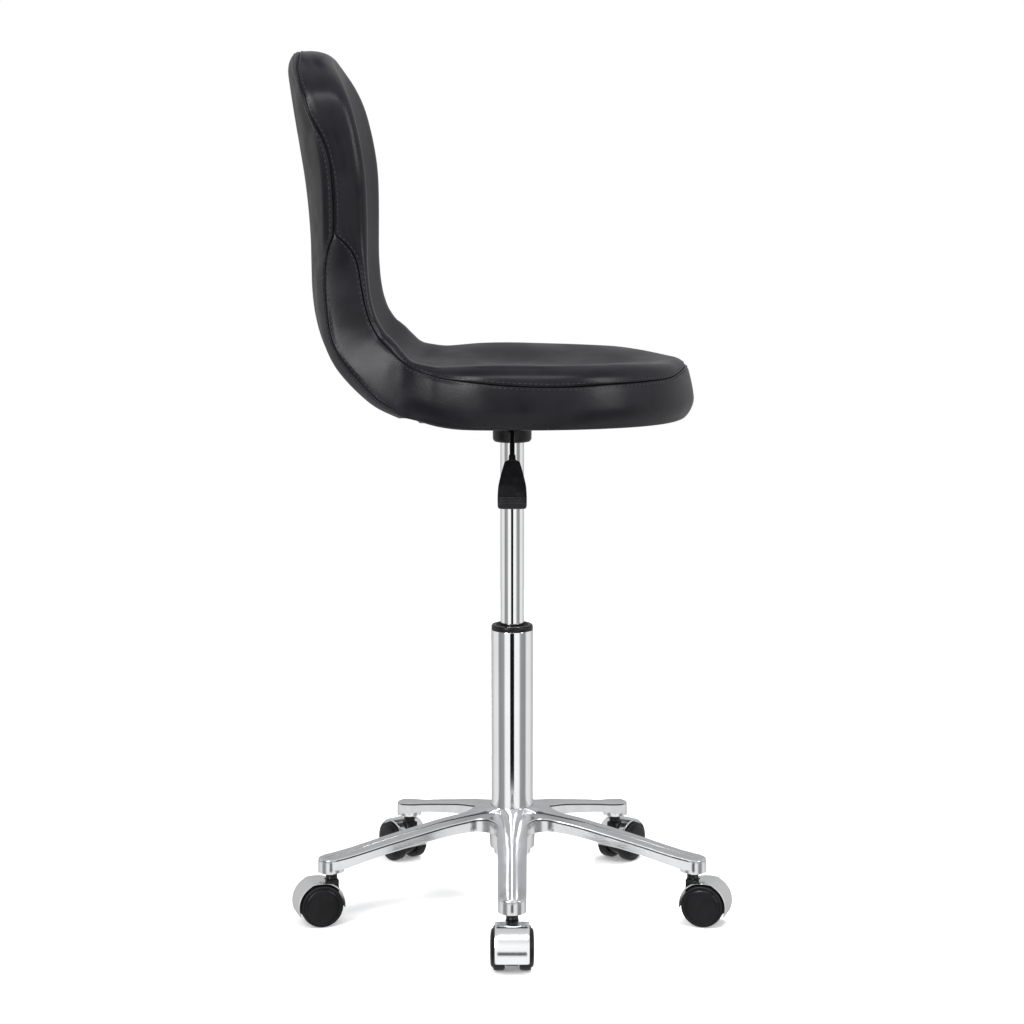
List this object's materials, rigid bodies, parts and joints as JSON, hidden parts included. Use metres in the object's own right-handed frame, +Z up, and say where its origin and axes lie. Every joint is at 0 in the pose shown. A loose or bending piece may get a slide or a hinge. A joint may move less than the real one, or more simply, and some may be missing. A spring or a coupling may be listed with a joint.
{
  "type": "rolling stylist stool",
  "caption": "Height-adjustable salon stool with one-piece padded seat and backrest, gas-lift column with side lever and star base on twin-wheel hooded casters.",
  "frame": {"origin": "centre of the footprint box on the floor, under the column's fore-aft axis", "axes": "+X towards the front of the seat, +Z up from the floor, the height lever hangs on the -Y side"},
  "size_m": [0.5208, 0.4953, 1.0126],
  "materials": {
    "cast_aluminium": "polished die casting, satin on the top faces",
    "chrome": "bright chrome plate",
    "dark_steel": "black coated steel",
    "black_plastic": "moulded black plastic",
    "lever_plastic": "fine-textured black plastic",
    "bright_steel": "ground steel rod",
    "leatherette": "fine-grain black leatherette, stitched",
    "rear_leatherette": "fine-grain black leatherette",
    "plywood": "moulded plywood",
    "foam": "open-cell foam",
    "rubber": "rubber buffer"
  },
  "bodies": {
    "base": {"base_star": "cast_aluminium", "column_sleeve": "chrome", "guide_bushing": "black_plastic", "thrust_bearing": "dark_steel", "caster_1_stem": "dark_steel", "caster_2_stem": "dark_steel", "caster_3_stem": "dark_steel", "caster_4_stem": "dark_steel", "caster_5_stem": "dark_steel"},
    "gas_rod": {"piston_rod": "bright_steel", "gas_piston": "black_plastic", "bump_stop": "rubber", "retaining_clip": "dark_steel"},
    "seat": {"gas_tube": "chrome", "seat_plate": "dark_steel", "lever_pivot_pin": "dark_steel", "plate_bolt_1": "dark_steel", "plate_bolt_2": "dark_steel", "plate_bolt_3": "dark_steel", "plate_bolt_4": "dark_steel", "seat_shell": "plywood", "rear_cover": "rear_leatherette", "seat_pan": "black_plastic", "foam_pad": "foam", "front_cover": "leatherette"},
    "height_lever": {"lever_rod": "dark_steel", "lever_paddle": "lever_plastic"},
    "gas_valve": {"valve_button": "dark_steel"},
    "caster_1": {"caster_1_fork": "black_plastic", "caster_1_hood": "chrome", "caster_1_axle": "dark_steel"},
    "caster_1_wheel_l": {"caster_1_wheel_left": "black_plastic"},
    "caster_1_wheel_r": {"caster_1_wheel_right": "black_plastic"},
    "caster_2": {"caster_2_fork": "black_plastic", "caster_2_hood": "chrome", "caster_2_axle": "dark_steel"},
    "caster_2_wheel_l": {"caster_2_wheel_left": "black_plastic"},
    "caster_2_wheel_r": {"caster_2_wheel_right": "black_plastic"},
    "caster_3": {"caster_3_fork": "black_plastic", "caster_3_hood": "chrome", "caster_3_axle": "dark_steel"},
    "caster_3_wheel_l": {"caster_3_wheel_left": "black_plastic"},
    "caster_3_wheel_r": {"caster_3_wheel_right": "black_plastic"},
    "caster_4": {"caster_4_fork": "black_plastic", "caster_4_hood": "chrome", "caster_4_axle": "dark_steel"},
    "caster_4_wheel_l": {"caster_4_wheel_left": "black_plastic"},
    "caster_4_wheel_r": {"caster_4_wheel_right": "black_plastic"},
    "caster_5": {"caster_5_fork": "black_plastic", "caster_5_hood": "chrome", "caster_5_axle": "dark_steel"},
    "caster_5_wheel_l": {"caster_5_wheel_left": "black_plastic"},
    "caster_5_wheel_r": {"caster_5_wheel_right": "black_plastic"}
  },
  "joints": [
    {"name": "seat_swivel", "type": "hinge", "parent": "base", "child": "gas_rod", "pos_m": [0, 0.02, 0.07], "axis": [0, 0, 1], "continuous": true},
    {"name": "height_lift", "type": "slide", "parent": "gas_rod", "child": "seat", "axis": [0, 0, 1], "range_m": [-0.2, 0]},
    {"name": "lever_lift", "type": "hinge", "parent": "seat", "child": "height_lever", "pos_m": [0, 0.003, 0.5846], "axis": [-1, 0, 0], "range_deg": [0, 7]},
    {"name": "valve_press", "type": "slide", "parent": "seat", "child": "gas_valve", "axis": [0, 0, 1], "range_m": [-0.003, 0]},
    {"name": "caster_1_swivel", "type": "hinge", "parent": "base", "child": "caster_1", "pos_m": [0, -0.2034, 0.05], "axis": [0, 0, 1], "continuous": true},
    {"name": "caster_1_roll_l", "type": "hinge", "parent": "caster_1", "child": "caster_1_wheel_l", "pos_m": [0.0145, -0.219, 0.025], "axis": [1, 0, 0], "continuous": true},
    {"name": "caster_1_roll_r", "type": "hinge", "parent": "caster_1", "child": "caster_1_wheel_r", "pos_m": [-0.0145, -0.219, 0.025], "axis": [1, 0, 0], "continuous": true},
    {"name": "caster_2_swivel", "type": "hinge", "parent": "base", "child": "caster_2", "pos_m": [0.21247, -0.04903, 0.05], "axis": [0, 0, 1], "continuous": true},
    {"name": "caster_2_roll_l", "type": "hinge", "parent": "caster_2", "child": "caster_2_wheel_l", "pos_m": [0.23178, -0.04007, 0.025], "axis": [0.309, 0.9511, 0], "continuous": true},
    {"name": "caster_2_roll_r", "type": "hinge", "parent": "caster_2", "child": "caster_2_wheel_r", "pos_m": [0.22282, -0.06764, 0.025], "axis": [0.309, 0.9511, 0], "continuous": true},
    {"name": "caster_3_swivel", "type": "hinge", "parent": "base", "child": "caster_3", "pos_m": [0.13131, 0.20073, 0.05], "axis": [0, 0, 1], "continuous": true},
    {"name": "caster_3_roll_l", "type": "hinge", "parent": "caster_3", "child": "caster_3_wheel_l", "pos_m": [0.12875, 0.22188, 0.025], "axis": [-0.809, 0.5878, 0], "continuous": true},
    {"name": "caster_3_roll_r", "type": "hinge", "parent": "caster_3", "child": "caster_3_wheel_r", "pos_m": [0.15221, 0.20483, 0.025], "axis": [-0.809, 0.5878, 0], "continuous": true},
    {"name": "caster_4_swivel", "type": "hinge", "parent": "base", "child": "caster_4", "pos_m": [-0.13131, 0.20073, 0.05], "axis": [0, 0, 1], "continuous": true},
    {"name": "caster_4_roll_l", "type": "hinge", "parent": "caster_4", "child": "caster_4_wheel_l", "pos_m": [-0.15221, 0.20483, 0.025], "axis": [-0.809, -0.5878, 0], "continuous": true},
    {"name": "caster_4_roll_r", "type": "hinge", "parent": "caster_4", "child": "caster_4_wheel_r", "pos_m": [-0.12875, 0.22188, 0.025], "axis": [-0.809, -0.5878, 0], "continuous": true},
    {"name": "caster_5_swivel", "type": "hinge", "parent": "base", "child": "caster_5", "pos_m": [-0.21247, -0.04903, 0.05], "axis": [0, 0, 1], "continuous": true},
    {"name": "caster_5_roll_l", "type": "hinge", "parent": "caster_5", "child": "caster_5_wheel_l", "pos_m": [-0.22282, -0.06764, 0.025], "axis": [0.309, -0.9511, 0], "continuous": true},
    {"name": "caster_5_roll_r", "type": "hinge", "parent": "caster_5", "child": "caster_5_wheel_r", "pos_m": [-0.23178, -0.04007, 0.025], "axis": [0.309, -0.9511, 0], "continuous": true}
  ],
  "couplings": [
    {"joint": "valve_press", "follows": "lever_lift", "m_per_rad": -0.0205}
  ]
}
